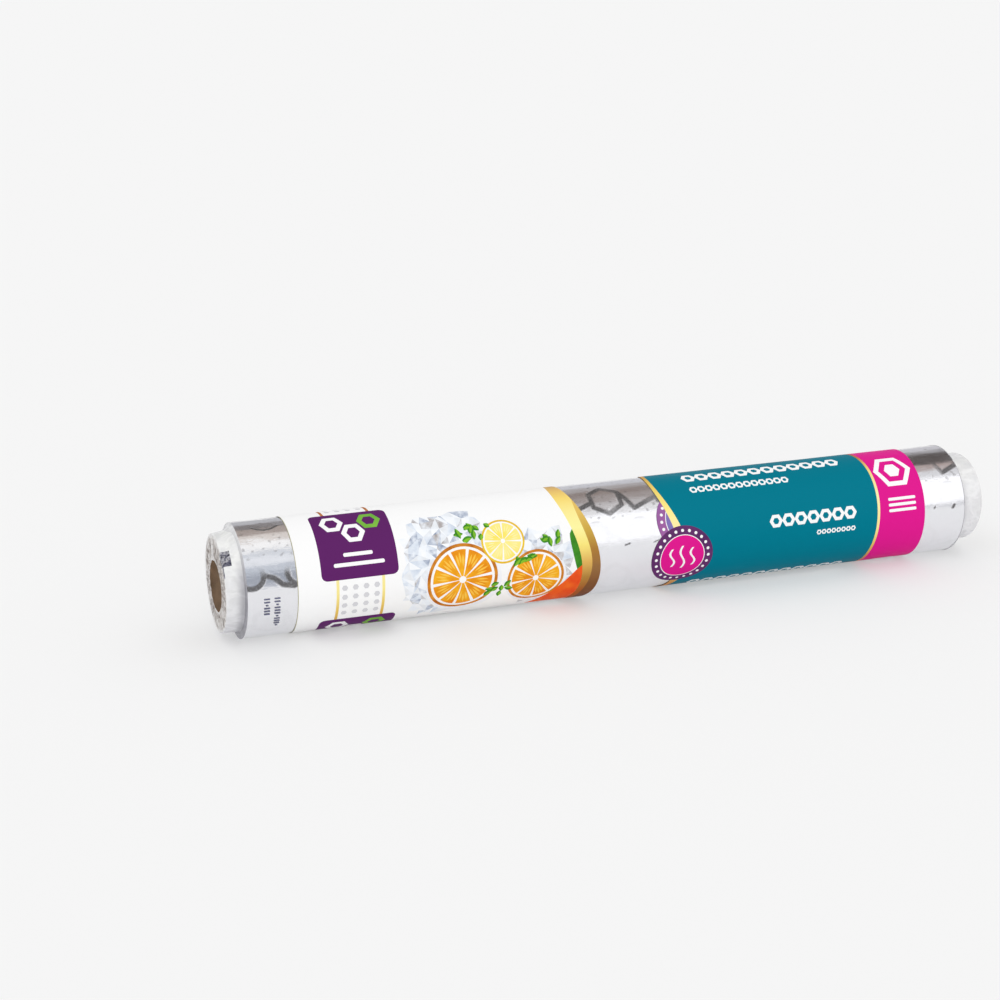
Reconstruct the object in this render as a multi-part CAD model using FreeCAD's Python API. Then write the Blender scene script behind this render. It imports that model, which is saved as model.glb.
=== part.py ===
"""Household aluminium foil roll, sealed in a printed wrap film.

The roll lies on its side along X, on the narrow flat that its own weight presses into the winding.
X = 0 is the middle of the core tube, Z = 0 is the surface that the roll lies on, and -Y is the front.
Three pieces: the card core tube, the wound foil, and the shrunk film that closes over both core ends.
All sizes are in millimetres.
"""

import FreeCAD, Part
import math
import os

from FreeCAD import Vector

# Card core tube
left_overhang = 6.0  # how far the core stands out of the foil at the left end
right_overhang = 10.0
core_outer_diameter = 34.0
core_wall = 1.3
core_edge_chamfer = 0.4

# Wound foil
foil_width = 290.0
foil_build = 4.05  # radial depth of all the turns
winding_clearance = 0.05  # between the core and the first turn
tail_step = 0.15  # height of the foil's free edge above the turn below it
tail_angle = 200.0  # where the free edge lies
turn_groove_width = 0.3
turn_groove_depth = 0.35
turn_groove_pitch = 0.8
turn_groove_margin = 0.4  # plain foil left inside and outside the groove

# Wrap film
film_thickness = 0.2
film_clearance = 0.05  # between the film and what it is shrunk onto
shoulder_run_left = 0.9  # length over which the film slopes from the foil to the core
shoulder_run_right = 1.2
lap_width = 12.0  # overlap of the film's two long edges
lap_angle = 140.0  # where the overlap lies
lap_step = 0.15
lap_end_margin = 2.5

# Gathered film over each end of the core
mouth_radius = 9.8
mouth_wobble = 0.25  # how far the mouth's edge strays from a circle
mouth_tuck = 0.7  # how far the mouth's edge is drawn into the bore
pleat_count = 26
pleat_depth = 0.55
gather_bore_gap = 0.1  # between the core's bore and the gathers' root
gather_root_overlap = 0.5  # how far the flat film over the rim runs on past the gathers' root
gather_root_inset = 0.03  # keeps the gathers' root inside the film's thickness

# Flat that the roll lies on
flat_width = 7.6

# Worked out from the sizes above
core_length = left_overhang + foil_width + right_overhang
core_outer_radius = core_outer_diameter / 2
core_inner_radius = core_outer_radius - core_wall
core_end = core_length / 2
winding_inner_radius = core_outer_radius + winding_clearance
winding_outer_radius = winding_inner_radius + foil_build
foil_left = -core_end + left_overhang
foil_right = foil_left + foil_width
film_barrel_radius = winding_outer_radius + film_clearance
film_outer_radius = film_barrel_radius + film_thickness
film_collar_radius = core_outer_radius + film_clearance
film_end = core_end + film_clearance
gather_root_radius = core_inner_radius - gather_bore_gap
axis_height = math.sqrt(film_outer_radius**2 - (flat_width / 2) ** 2)

axis_x = Vector(1, 0, 0)
origin = Vector(0, 0, 0)


def polar(x, radius, degrees):
    """A point about the roll's axis: 0 degrees is the front (-Y), 90 the top and 180 the back."""
    a = math.radians(degrees)
    return Vector(x, -radius * math.cos(a), radius * math.sin(a))


def offset_path(points, distance):
    """The path moved sideways by distance, to the left of its direction, with mitred corners."""
    normals = []
    for (x0, r0), (x1, r1) in zip(points, points[1:]):
        length = math.hypot(x1 - x0, r1 - r0)
        normals.append((-(r1 - r0) / length, (x1 - x0) / length))
    moved = []
    for i, (x, r) in enumerate(points):
        a = normals[max(i - 1, 0)]
        b = normals[min(i, len(normals) - 1)]
        scale = distance / (1 + a[0] * b[0] + a[1] * b[1])
        moved.append((x + (a[0] + b[0]) * scale, r + (a[1] + b[1]) * scale))
    return moved


def turned(path):
    """The solid inside an (x, radius) path that starts and ends on the roll's axis."""
    corners = [Vector(x, 0, r) for x, r in path]
    face = Part.Face(Part.makePolygon(corners + corners[:1]))
    return face.revolve(origin, axis_x, 360)


def above(shape, lowest):
    """The part of the shape above a level plane, with the roll's axis at level 0."""
    reach = 4 * film_outer_radius
    span = 2 * core_length
    keep = Part.makeBox(span, reach, reach, Vector(-span / 2, -reach / 2, lowest))
    return shape.common(keep)


def spiral_arcs(x, start_radius, growth_per_turn, half_turns, start_angle):
    """A spiral of half circles whose centres alternate between the axis and a point beside it."""
    shift = growth_per_turn / 2
    arcs = []
    for i in range(half_turns):
        radius = start_radius + i * shift
        centre = polar(0, shift * (i % 2), start_angle)
        angles = [start_angle + 180 * i + turn for turn in (0, 90, 180)]
        arcs.append(Part.Arc(*[centre + polar(x, radius, angle) for angle in angles]).toShape())
    return arcs


def first_point(arcs):
    return arcs[0].valueAt(arcs[0].FirstParameter)


def last_point(arcs):
    return arcs[-1].valueAt(arcs[-1].LastParameter)


def core_tube():
    """Card tube with square-cut ends, their sharp edges just broken."""
    blank = Part.makeCylinder(core_outer_radius, core_length, Vector(-core_end, 0, 0), axis_x)
    blank = blank.makeChamfer(core_edge_chamfer, [e for e in blank.Edges if e.Closed])
    bore = Part.makeCylinder(core_inner_radius, core_length, Vector(-core_end, 0, 0), axis_x)
    return blank.cut(bore)


def turn_groove(x, inward):
    """The spiral gap that shows between the edges of the turns on one end of the winding."""
    inner = winding_inner_radius + turn_groove_margin
    outer = winding_outer_radius - tail_step - turn_groove_margin - turn_groove_width
    half_turns = int(2 * (outer - inner) / turn_groove_pitch)
    near = spiral_arcs(x, inner, turn_groove_pitch, half_turns, tail_angle)
    far = spiral_arcs(x, inner + turn_groove_width, turn_groove_pitch, half_turns, tail_angle)
    closing = [
        Part.makeLine(first_point(near), first_point(far)),
        Part.makeLine(last_point(near), last_point(far)),
    ]
    outline = Part.Wire(Part.sortEdges(near + far + closing)[0])
    return Part.Face(outline).extrude(axis_x * (inward * turn_groove_depth))


def foil_winding():
    """All the turns as one solid: a spiral with one free edge, flattened where the roll lies."""
    outer_turn = spiral_arcs(foil_left, winding_outer_radius, -tail_step, 2, tail_angle)
    free_edge = Part.makeLine(last_point(outer_turn), first_point(outer_turn))
    wound = Part.Face(Part.Wire(outer_turn + [free_edge])).extrude(axis_x * foil_width)
    bore = Part.makeCylinder(winding_inner_radius, foil_width, Vector(foil_left, 0, 0), axis_x)
    wound = above(wound.cut(bore), -axis_height + film_thickness + film_clearance)
    return wound.cut([turn_groove(foil_left, 1), turn_groove(foil_right, -1)])


def film_path():
    """The film's inner line from the left end to the right, as (x, radius) corners."""
    bevel = core_edge_chamfer
    barrel_left = foil_left - film_clearance
    barrel_right = foil_right + film_clearance
    return [
        (-film_end, 0),
        (-film_end, film_collar_radius - bevel),
        (-film_end + bevel, film_collar_radius),
        (barrel_left - shoulder_run_left, film_collar_radius),
        (barrel_left, film_barrel_radius),
        (barrel_right, film_barrel_radius),
        (barrel_right + shoulder_run_right, film_collar_radius),
        (film_end - bevel, film_collar_radius),
        (film_end, film_collar_radius - bevel),
        (film_end, 0),
    ]


def ring_face_pair(near, far, i, j):
    """Two triangles between neighbouring points i and j of two rings."""
    corners = ([near[i], near[j], far[i]], [near[j], far[j], far[i]])
    return [Part.Face(Part.makePolygon(c + c[:1])) for c in corners]


def gathers(side):
    """The pleated ring of film from the core's rim in to the mouth, at one end.

    side is -1 for the left end and 1 for the right. Ridges stand out of the bore, valleys lie in it.
    """
    outer_face = film_end + film_thickness - gather_root_inset
    thickness = film_thickness - 2 * gather_root_inset
    front_root, front_mouth, back_root, back_mouth = [], [], [], []
    for i in range(2 * pleat_count):
        angle = 180.0 * i / pleat_count
        a = math.radians(angle)
        radius = mouth_radius + mouth_wobble * (math.sin(3 * a + side) + math.sin(7 * a) / 2)
        lift = pleat_depth / 2 * (1 if i % 2 else -1) * (1 + 0.4 * math.sin(5 * a + side))
        mouth_x = outer_face - mouth_tuck + lift
        front_root.append(polar(side * outer_face, gather_root_radius, angle))
        back_root.append(polar(side * (outer_face - thickness), gather_root_radius, angle))
        front_mouth.append(polar(side * mouth_x, radius, angle))
        back_mouth.append(polar(side * (mouth_x - thickness), radius, angle))
    rings = (front_root, front_mouth, back_mouth, back_root)
    faces = []
    for i in range(2 * pleat_count):
        j = (i + 1) % (2 * pleat_count)
        for near, far in zip(rings, rings[1:] + rings[:1]):
            faces += ring_face_pair(near, far, i, j)
    shell = Part.Shell(faces)
    shell.sewShape()
    solid = Part.Solid(shell)
    if solid.Volume < 0:
        solid.reverse()
    return solid


def film_lap():
    """The long overlap where the film's two edges are joined, along the back of the roll."""
    low = film_outer_radius - film_thickness / 2
    high = film_outer_radius + lap_step
    left = foil_left + lap_end_margin
    right = foil_right - lap_end_margin
    swing = math.degrees(lap_width / film_outer_radius)
    start = lap_angle - swing / 2
    corners = [polar(left, low, start), polar(right, low, start),
               polar(right, high, start), polar(left, high, start)]
    section = Part.Face(Part.makePolygon(corners + corners[:1]))
    return section.revolve(origin, axis_x, -swing)


def wrap_film():
    """The film: a barrel over the foil, a slope and a collar at each end, and gathered mouths."""
    inner = film_path()
    outer = offset_path(inner, film_thickness)
    skin = above(turned(outer), -axis_height)
    room = above(turned(inner), -axis_height + film_thickness)
    flange_radius = gather_root_radius - gather_root_overlap
    hole = Part.makeCylinder(flange_radius, 2 * core_length, Vector(-core_length, 0, 0), axis_x)
    return skin.cut([room, hole]).fuse([gathers(-1), gathers(1), film_lap()])


def main():
    pieces = {
        "core_tube": core_tube(),
        "foil_winding": foil_winding(),
        "wrap_film": wrap_film(),
    }
    os.makedirs("parts", exist_ok=True)
    for name, shape in pieces.items():
        shape.translate(Vector(0, 0, axis_height))
        print(name, "solids:", len(shape.Solids), "volume:", round(shape.Volume, 1))
        shape.exportStep("parts/" + name + ".step")


main()
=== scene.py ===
"""Looks of a household aluminium foil roll in its printed shrink film, dressed over the fixed CAD frame.

Lengths are millimetres. "Along" runs from the foil's left edge to the right, and "around" is in
degrees from the top of the roll over the front (90) to the bottom (180) and up the back (270).
"""

import math

import bpy
import numpy as np
from bpy.props import FloatProperty, FloatVectorProperty, PointerProperty
from mathutils import Matrix, Vector
from mathutils.geometry import delaunay_2d_cdt


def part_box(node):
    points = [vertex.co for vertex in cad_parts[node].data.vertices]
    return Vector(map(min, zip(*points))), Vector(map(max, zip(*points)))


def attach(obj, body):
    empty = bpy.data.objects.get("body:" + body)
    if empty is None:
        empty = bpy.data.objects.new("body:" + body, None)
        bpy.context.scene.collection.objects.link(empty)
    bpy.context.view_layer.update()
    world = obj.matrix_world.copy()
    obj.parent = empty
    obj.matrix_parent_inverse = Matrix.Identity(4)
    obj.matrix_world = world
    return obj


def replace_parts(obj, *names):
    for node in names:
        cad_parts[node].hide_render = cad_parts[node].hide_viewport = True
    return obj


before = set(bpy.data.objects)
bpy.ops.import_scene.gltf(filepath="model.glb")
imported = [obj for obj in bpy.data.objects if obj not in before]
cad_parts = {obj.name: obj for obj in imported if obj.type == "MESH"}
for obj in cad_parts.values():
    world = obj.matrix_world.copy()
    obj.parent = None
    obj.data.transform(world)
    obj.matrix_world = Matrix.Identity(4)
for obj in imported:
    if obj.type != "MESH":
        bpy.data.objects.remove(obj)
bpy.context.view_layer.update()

bl_info = {
    "name": "Foil Roll",
    "version": (1, 0, 0),
    "blender": (4, 5, 0),
    "location": "View3D > Sidebar > Foil Roll",
    "description": "Builds a wrapped household foil roll piece by piece",
    "category": "Object",
}

MM = 0.001

# Sizes that come from the frame
core_low, core_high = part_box("core_tube")
winding_low, winding_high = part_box("foil_winding")
film_low, film_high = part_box("wrap_film")
AXIS_HEIGHT = (core_low.z + core_high.z) / 2 / MM
CORE_END = core_high.x / MM
CORE_RADIUS = core_high.y / MM
FOIL_LEFT = winding_low.x / MM
FOIL_WIDTH = (winding_high.x - winding_low.x) / MM
FOIL_RADIUS = -winding_low.y / MM
FOIL_LOWEST = winding_low.z / MM
FILM_RADIUS = -film_low.y / MM
FILM_OVERHANG_LEFT = (winding_low.x - film_low.x) / MM
FILM_OVERHANG_RIGHT = (film_high.x - winding_high.x) / MM
COLLAR_RADIUS = CORE_RADIUS + 0.25

# Outer turn of the foil
TAIL_AROUND = 250.0  # where the free edge lies
TAIL_STEP = 0.15
TAIL_OVERLAP = 3.0  # degrees that the sheet runs on beneath its own free edge
SHEET_LIFT = 0.03  # keeps the sheet just off the turns below
FINE_STEP = 0.45  # mesh step where the foil shows through clear film
COARSE_STEP = 6.0  # mesh step where print hides it
WINDOW_MARGIN = 3.0
EMBOSS_PITCH = 26.4  # along the roll
SHAPE_ROWS = (28.5, 118.0, 208.0, 288.0)  # around, rows of hexagons and slanted strokes
RING_ROWS = (68.0, 163.0, 248.0, 328.0)  # around, rows of rings
LONE_STROKES = (  # half width and (along, around) corners of a fold near the left end and ticks on the front
    (0.4, ((5.8, 11.6), (7.2, 15.3), (10.0, 18.2), (12.8, 16.7), (15.6, 12.1))),
    (0.3, ((144.7, 80.5), (146.5, 79.4))),
    (0.2, ((156.4, 80.9), (158.4, 79.3))),
    (0.4, ((276.3, 80.8), (276.7, 79.6))),
    (0.6, ((284.6, 82.2), (285.4, 79.6))),
)

# Wrap film
FILM_START = -66.0  # around where the sheet begins, beneath its other edge
FILM_STOP = 326.0
LAP_STEP = 0.15
FILM_CELL = 2.0
BORDER_STEP = 1.5
SHOULDER_LEFT = 0.5
SHOULDER_RIGHT = 1.2
LOOSE_LEFT = 0.85  # how far the film stands off the core at the left end
LOOSE_RIGHT = 0.0
SAG_LEFT = 0.22  # how much further it hangs off below than above
FLARE_LEFT = 1.3  # how much wider it grows towards the foil, most at the upper front
TENT_AROUND = -5.0  # where it bridges from the foil's edge to the core in one fold
TENT_SPREAD = 9.0
TENT_REACH = 2.4
MOUTH_RADIUS = 9.4
MOUTH_DROP = 1.3  # how far the left mouth's middle lies below the axis
PLEATS = 26
SHOULDER_ROWS = 16
MARK_ROW = 22  # where the dark mark starts across the collar
LEAN_LEFT = 0.55  # how much further the left rim bulges out in front than behind
# Painted shade on the film over the ends: lighter at the top of the roll and darker towards the bottom, as (share of
# the way down, colour) pairs
COLLAR_PAINTED_SHADE = {-1: [(0.25, (250, 251, 247)), (0.9, (214, 213, 221))],
                 1: [(0.25, (253, 253, 251)), (0.9, (230, 229, 234))]}
SHOULDER_PAINTED_SHADE = [(0.15, (246, 246, 246)), (0.32, (206, 205, 212)), (0.5, (172, 171, 180)), (0.8, (160, 158, 170))]

# Layout of the print
WHITE_LEFT = 18.4
BLOCK = (27.2, 56.0, 77.5)  # left, right and extent around of the purple blocks
BLOCK_TOPS = (-120.5, 4.0, 128.5, 253.0)
RULES = (33.0, 50.1)
RULE_WIDTH = 1.1
PICTURE_TOPS = (20.0, 200.0)
TEXT_TOPS = (-137.5, 0.0, 139.5, 279.0)
PINK_RIGHT = 272.0
BADGE_CENTRES = ((168.1, 101.5), (168.1, 281.5))
BADGE_RADIUS = 12.6
BADGE_DISC_RADIUS = 8.9
GHOST_CENTRE = (170.9, 62.0)

# Camera, fitted to the photograph's outline
CAMERA_PLACE = (-308.6, -732.5, 291.7)
CAMERA_AZIMUTH = -19.81
CAMERA_ELEVATION = 17.885
CAMERA_LENS = 78.76

# Studio panels: bays of (left, right, panels), each panel (start, stop, colour) in degrees around
PANEL_REACH = 2.2
PANEL_BAYS = (
    (-1.0, 0.6, (
        (-91, -60, (0.48, 0.48, 0.50)),
        (-60, -42, (0.17, 0.15, 0.145)),
        (-42, -24, (0.38, 0.31, 0.27)),
        (-24, -8, (0.76, 0.69, 0.63)),
        (-8, 16, (1.08, 1.07, 1.04)),
        (16, 30, (0.70, 0.73, 0.77)),
        (30, 46, (0.88, 0.90, 0.93)),
        (46, 62, (0.56, 0.60, 0.66)),
        (62, 84, (0.31, 0.34, 0.40)),
        (84, 93, (0.52, 0.54, 0.60)),
    )),
    (0.6, 1.15, (
        (-91, -62, (0.60, 0.60, 0.63)),
        (-62, -44, (0.40, 0.37, 0.36)),
        (-44, -26, (0.24, 0.185, 0.16)),
        (-26, -8, (0.33, 0.28, 0.26)),
        (-8, 8, (0.50, 0.47, 0.46)),
        (8, 24, (0.86, 0.85, 0.84)),
        (24, 82, (1.25, 1.25, 1.25)),
        (82, 93, (1.0, 1.0, 1.0)),
    )),
    (1.15, 3.2, (
        (-91, -62, (0.60, 0.59, 0.62)),
        (-62, -46, (0.36, 0.35, 0.355)),
        (-46, -10, (0.045, 0.03, 0.025)),
        (-10, 6, (0.44, 0.35, 0.32)),
        (6, 26, (0.76, 0.76, 0.77)),
        (26, 84, (1.25, 1.25, 1.25)),
        (84, 93, (0.70, 0.70, 0.72)),
    )),
)


def tone(red, green, blue):
    """The shader's colour for one given as it looks on a screen, in 0 to 255."""
    shares = [value / 255.0 for value in (red, green, blue)]
    return tuple(c / 12.92 if c <= 0.04045 else ((c + 0.055) / 1.055) ** 2.4 for c in shares)


def on_roll(along, around, radius, lowest=0.0):
    """Points in metres at places on the roll, pressed flat where the roll lies."""
    angle = np.radians(around)
    z = np.maximum(AXIS_HEIGHT + radius * np.cos(angle), lowest)
    x = FOIL_LEFT + along + 0 * angle
    return np.stack(np.broadcast_arrays(x, -radius * np.sin(angle), z), axis=-1) * MM


def arc(degrees, radius=FILM_RADIUS):
    """Length round the roll, in millimetres."""
    return math.radians(degrees) * radius


def ripples(x, y, wavelength, seed, waves=9):
    """Soft random relief between about -1 and 1, the same on each run."""
    random = np.random.RandomState(seed)
    total = np.zeros(np.broadcast(x, y).shape)
    for _ in range(waves):
        direction, phase = random.uniform(0, 2 * math.pi, 2)
        pull = 2 * math.pi / (wavelength * random.uniform(0.6, 1.6))
        total += np.sin(pull * (x * math.cos(direction) + y * math.sin(direction)) + phase)
    return total / math.sqrt(waves)


def ring_ripples(around, low, high, seed, waves=10):
    """Random relief round a ring that closes on itself, with low to high waves in a turn."""
    random = np.random.RandomState(seed)
    total = 0 * around
    for _ in range(waves):
        count = random.randint(low, high + 1)
        total = total + np.sin(np.radians(around) * count + random.uniform(0, 2 * math.pi))
    return total / math.sqrt(waves)


def make_object(name, points, faces, materials, indices=None):
    """A smooth mesh object that rides on the roll's body."""
    mesh = bpy.data.meshes.new(name)
    mesh.from_pydata([tuple(p) for p in points], [], [tuple(f) for f in faces])
    for material in materials:
        mesh.materials.append(material)
    if indices is not None:
        mesh.polygons.foreach_set("material_index", indices)
    mesh.shade_smooth()
    mesh.validate()
    mesh.update()
    piece = bpy.data.objects.new(name, mesh)
    bpy.context.scene.collection.objects.link(piece)
    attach(piece, "root")
    return piece


def paint(piece, name, values):
    """Stores one number for each point of the piece, for its material to read."""
    piece.data.attributes.new(name, "FLOAT", "POINT").data.foreach_set("value", np.ravel(values))


def grid_faces(rows, columns, closed):
    """Quads between neighbouring points of a grid, whose columns may join up into a ring."""
    r, c = np.meshgrid(np.arange(rows - 1), np.arange(columns if closed else columns - 1), indexing="ij")
    after = (c + 1) % columns
    corners = [r * columns + c, r * columns + after, (r + 1) * columns + after, (r + 1) * columns + c]
    return np.stack(corners, axis=-1).reshape(-1, 4)


# Shader building blocks


def add_node(tree, kind, settings=None, inputs=None):
    """A shader node with its settings, and its inputs set to values or linked to sockets."""
    node = tree.nodes.new(kind)
    for key, value in (settings or {}).items():
        setattr(node, key, value)
    for key, value in (inputs or {}).items():
        if isinstance(value, bpy.types.NodeSocket):
            tree.links.new(value, node.inputs[key])
        else:
            node.inputs[key].default_value = value
    return node


def calculate(tree, operation, *values, clamp=False):
    settings = {"operation": operation, "use_clamp": clamp}
    return add_node(tree, "ShaderNodeMath", settings, dict(enumerate(values))).outputs[0]


def blend_colours(tree, factor, first, second):
    inputs = {"Factor": factor, 6: first, 7: second}
    return add_node(tree, "ShaderNodeMix", {"data_type": "RGBA"}, inputs).outputs[2]


def ramp(tree, factor, stops):
    """A colour ramp. Stops are (position, colour) pairs, or (position, grey value) pairs."""
    node = add_node(tree, "ShaderNodeValToRGB", None, {0: factor})
    elements = node.color_ramp.elements
    while len(elements) < len(stops):
        elements.new(1.0)
    for element, (position, colour) in zip(elements, stops):
        element.position = position
        grey = isinstance(colour, (int, float))
        element.color = (colour, colour, colour, 1.0) if grey else (*colour[:3], 1.0)
    return node.outputs[0]


def opaque(colour):
    return (*colour[:3], 1.0)


def new_group(name, inputs, outputs):
    """An empty shader group with (name, kind, default) inputs and (name, kind) outputs."""
    tree = bpy.data.node_groups.new(name, "ShaderNodeTree")
    for label, kind, default in inputs:
        socket = tree.interface.new_socket(label, in_out="INPUT", socket_type="NodeSocket" + kind)
        socket.default_value = default
    for label, kind in outputs:
        tree.interface.new_socket(label, in_out="OUTPUT", socket_type="NodeSocket" + kind)
    return tree, tree.nodes.new("NodeGroupInput"), tree.nodes.new("NodeGroupOutput")


def roll_position_group():
    """Where a point lies on the roll: along in mm, around in degrees and radius in mm."""
    name = "Roll Position"
    if name in bpy.data.node_groups:
        return bpy.data.node_groups[name]
    outputs = [("Along", "Float"), ("Around", "Float"), ("Radius", "Float")]
    tree, _, result = new_group(name, [], outputs)
    place = add_node(tree, "ShaderNodeTexCoord").outputs["Object"]
    x, y, z = add_node(tree, "ShaderNodeSeparateXYZ", None, {0: place}).outputs
    height = calculate(tree, "SUBTRACT", z, AXIS_HEIGHT * MM)
    forward = calculate(tree, "MULTIPLY", y, -1.0)
    squares = calculate(tree, "ADD", calculate(tree, "POWER", y, 2.0), calculate(tree, "POWER", height, 2.0))
    radius = calculate(tree, "DIVIDE", calculate(tree, "SQRT", squares), MM)
    along = calculate(tree, "SUBTRACT", calculate(tree, "DIVIDE", x, MM), FOIL_LEFT)
    around = calculate(tree, "DEGREES", calculate(tree, "ARCTAN2", forward, height))
    for label, socket in zip(("Along", "Around", "Radius"), (along, around, radius)):
        tree.links.new(socket, result.inputs[label])
    return tree


def creases_group():
    """Fine folds of thin sheet: a height for a bump and a mask that picks out the sharp lines."""
    name = "Sheet Creases"
    if name in bpy.data.node_groups:
        return bpy.data.node_groups[name]
    inputs = [("Scale", "Float", 200.0), ("Stretch", "Vector", (1.0, 1.0, 1.0)), ("Sharpness", "Float", 6.0)]
    tree, given, result = new_group(name, inputs, [("Height", "Float"), ("Lines", "Float")])
    place = add_node(tree, "ShaderNodeTexCoord").outputs["Object"]
    settings = {"operation": "MULTIPLY"}
    stretched = add_node(tree, "ShaderNodeVectorMath", settings, {0: place, 1: given.outputs["Stretch"]})
    inputs = {"Vector": stretched.outputs[0], "Scale": given.outputs["Scale"], "Detail": 4.0, "Distortion": 0.6}
    noise = add_node(tree, "ShaderNodeTexNoise", None, inputs).outputs[0]
    centred = calculate(tree, "ABSOLUTE", calculate(tree, "SUBTRACT", noise, 0.5))
    scaled = calculate(tree, "MULTIPLY", centred, given.outputs["Sharpness"])
    lines = calculate(tree, "SUBTRACT", 1.0, scaled, clamp=True)
    height = calculate(tree, "ADD", noise, calculate(tree, "MULTIPLY", lines, 0.5))
    tree.links.new(height, result.inputs["Height"])
    tree.links.new(lines, result.inputs["Lines"])
    return tree


def mottle_group():
    """A colour that varies a little from place to place, as ink, card and metal do."""
    name = "Mottled Colour"
    if name in bpy.data.node_groups:
        return bpy.data.node_groups[name]
    inputs = [
        ("Colour", "Color", (0.5, 0.5, 0.5, 1.0)),
        ("Second Colour", "Color", (0.4, 0.4, 0.4, 1.0)),
        ("Scale", "Float", 300.0),
        ("Contrast", "Float", 1.0),
    ]
    tree, given, result = new_group(name, inputs, [("Colour", "Color"), ("Mask", "Float")])
    place = add_node(tree, "ShaderNodeTexCoord").outputs["Object"]
    noise_inputs = {"Vector": place, "Scale": given.outputs["Scale"], "Detail": 3.0}
    noise = add_node(tree, "ShaderNodeTexNoise", None, noise_inputs).outputs[0]
    centred = calculate(tree, "SUBTRACT", noise, 0.5)
    spread = calculate(tree, "MULTIPLY", centred, given.outputs["Contrast"])
    mask = calculate(tree, "ADD", spread, 0.5, clamp=True)
    colour = blend_colours(tree, mask, given.outputs["Colour"], given.outputs["Second Colour"])
    tree.links.new(colour, result.inputs["Colour"])
    tree.links.new(mask, result.inputs["Mask"])
    return tree


def place_group(tree, group, **values):
    """Puts a shader group into a material, with its inputs by name."""
    named = {key.replace("_", " "): value for key, value in values.items()}
    return add_node(tree, "ShaderNodeGroup", {"node_tree": group}, named).outputs


def new_material(name, **constants):
    """A material with its Principled shader, whose plain inputs are set by name."""
    material = bpy.data.materials.new(name)
    material.use_nodes = True
    shader = material.node_tree.nodes["Principled BSDF"]
    for key, value in constants.items():
        shader.inputs[key.replace("_", " ")].default_value = value
    return material, material.node_tree, shader


def bump(tree, shader, height, distance, strength=1.0):
    inputs = {"Height": height, "Distance": distance, "Strength": strength}
    normal = add_node(tree, "ShaderNodeBump", None, inputs).outputs[0]
    tree.links.new(normal, shader.inputs["Normal"])


# Materials


def card_material(settings):
    """Card tube: brown inside and in its wall, with a white paper ply outside."""
    material, tree, shader = new_material("Core Card", Roughness=0.85, Specular_IOR_Level=0.25)
    place = place_group(tree, roll_position_group())
    colours = {"Colour": opaque(settings.card_brown), "Second_Colour": (0.48, 0.35, 0.24, 1.0)}
    brown = place_group(tree, mottle_group(), Scale=260.0, Contrast=1.6, **colours)
    # Helical seam of the plies
    turn = calculate(tree, "DIVIDE", place["Around"], 360.0)
    helix = calculate(tree, "ADD", calculate(tree, "DIVIDE", place["Along"], 58.0), turn)
    seam = calculate(tree, "LESS_THAN", calculate(tree, "FRACT", helix), 0.012)
    seamed = blend_colours(tree, calculate(tree, "MULTIPLY", seam, 0.6), brown["Colour"], (0.12, 0.08, 0.05, 1.0))
    outside = calculate(tree, "GREATER_THAN", place["Radius"], CORE_RADIUS - 0.2)
    colour = blend_colours(tree, outside, seamed, opaque(settings.paper_white))
    tree.links.new(colour, shader.inputs["Base Color"])
    fibres = add_node(tree, "ShaderNodeTexNoise", None, {"Scale": 900.0, "Detail": 6.0})
    bump(tree, shader, fibres.outputs[0], 0.0001, 0.5)
    return material


def foil_edge_material(settings):
    """The turns' cut edges on the ends of the winding: fine bright and dark rings."""
    material, tree, shader = new_material("Foil Edges", Metallic=1.0, Roughness=0.35)
    place = place_group(tree, roll_position_group())
    rings = calculate(tree, "SINE", calculate(tree, "MULTIPLY", place["Radius"], 42.0))
    uneven = place_group(tree, creases_group(), Scale=500.0)
    mask = calculate(tree, "MULTIPLY_ADD", rings, 0.35, uneven["Height"], clamp=True)
    dark = (0.30, 0.30, 0.32, 1.0)
    colour = blend_colours(tree, mask, dark, opaque(settings.foil_colour))
    tree.links.new(colour, shader.inputs["Base Color"])
    bump(tree, shader, mask, 0.0001, 0.8)
    return material


def foil_material(settings):
    """Bright rolled foil. Its embossed strokes are roughened, and their dark colour is painted shade for the light that
    the rough surface scatters away.
    """
    material, tree, shader = new_material("Embossed Foil", Metallic=1.0)
    stroke = add_node(tree, "ShaderNodeAttribute", {"attribute_name": "stroke"}).outputs["Fac"]
    colours = {"Colour": opaque(settings.foil_colour), "Second_Colour": (0.82, 0.82, 0.85, 1.0)}
    sheen = place_group(tree, mottle_group(), Scale=60.0, Contrast=0.8, **colours)
    speckle = place_group(tree, mottle_group(), Colour=(0.0, 0.0, 0.0, 1.0), Scale=1700.0, Contrast=2.6)
    broken = calculate(tree, "MULTIPLY", stroke, calculate(tree, "MULTIPLY_ADD", speckle["Mask"], 0.4, 0.8))
    mask = calculate(tree, "MULTIPLY", broken, settings.stroke_depth, clamp=True)
    # Painted shade: the strokes are darkened in colour as well as roughened
    colour = blend_colours(tree, mask, sheen["Colour"], opaque(settings.stroke_shade_colour))
    tree.links.new(colour, shader.inputs["Base Color"])
    rough = calculate(tree, "MULTIPLY_ADD", mask, 0.25, settings.foil_roughness)
    tree.links.new(rough, shader.inputs["Roughness"])
    grain = place_group(tree, creases_group(), Scale=1000.0, Stretch=(0.35, 1.0, 1.0), Sharpness=5.0)
    bump(tree, shader, grain["Height"], 0.00004, settings.grain_strength)
    return material


def clear_film_material(settings):
    """Clear film drawn tight over the foil."""
    material, tree, shader = new_material("Clear Film", Roughness=0.06, Specular_IOR_Level=0.4)
    creases = place_group(tree, creases_group(), Scale=70.0, Stretch=(0.5, 1.6, 1.6), Sharpness=9.0)
    shader.inputs["Base Color"].default_value = opaque(settings.paper_white)
    haze = calculate(tree, "MULTIPLY_ADD", creases["Lines"], 0.02, settings.film_haze)
    tree.links.new(haze, shader.inputs["Alpha"])
    bump(tree, shader, creases["Height"], 0.0001, 0.1)
    return material


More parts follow.
